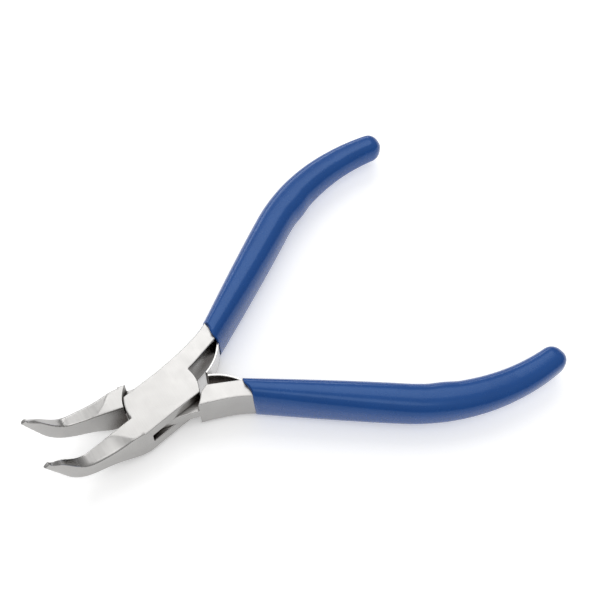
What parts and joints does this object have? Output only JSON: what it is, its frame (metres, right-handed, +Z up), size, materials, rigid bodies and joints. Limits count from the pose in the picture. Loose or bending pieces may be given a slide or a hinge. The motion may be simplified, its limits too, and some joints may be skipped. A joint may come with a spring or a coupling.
{
  "type": "bent chain nose pliers",
  "caption": "Small pliers with smooth bent chain-nose jaws, a box joint, leaf springs in the crotch and dipped blue handle sleeves, standing open.",
  "frame": {"origin": "where the pivot axis meets the flat underside of the box joint", "axes": "+Z up the pivot axis, towards the side the jaw tips bend to; +X from the pivot to the handles, along the middle of the open tool"},
  "size_m": [0.109, 0.0794, 0.0178],
  "materials": {
    "steel": "satin ground flats, polished noses",
    "spring_steel": "bright rolled strip",
    "sleeve": "glossy dipped vinyl"
  },
  "bodies": {
    "slotted_side": {"slotted_half": "steel", "pivot_pin": "steel", "slotted_half_spring": "spring_steel", "slotted_half_rivet": "steel", "slotted_half_grip": "sleeve"},
    "lap_side": {"lap_half": "steel", "lap_half_spring": "spring_steel", "lap_half_rivet": "steel", "lap_half_grip": "sleeve"}
  },
  "joints": [
    {"name": "box_joint", "type": "hinge", "parent": "slotted_side", "child": "lap_side", "pos_m": [0, 0, 0], "axis": [0, 0, 1], "range_deg": [-10, 21], "stiffness_Nm_per_rad": 0.6, "deforming": ["slotted_half_spring", "lap_half_spring"]}
  ]
}
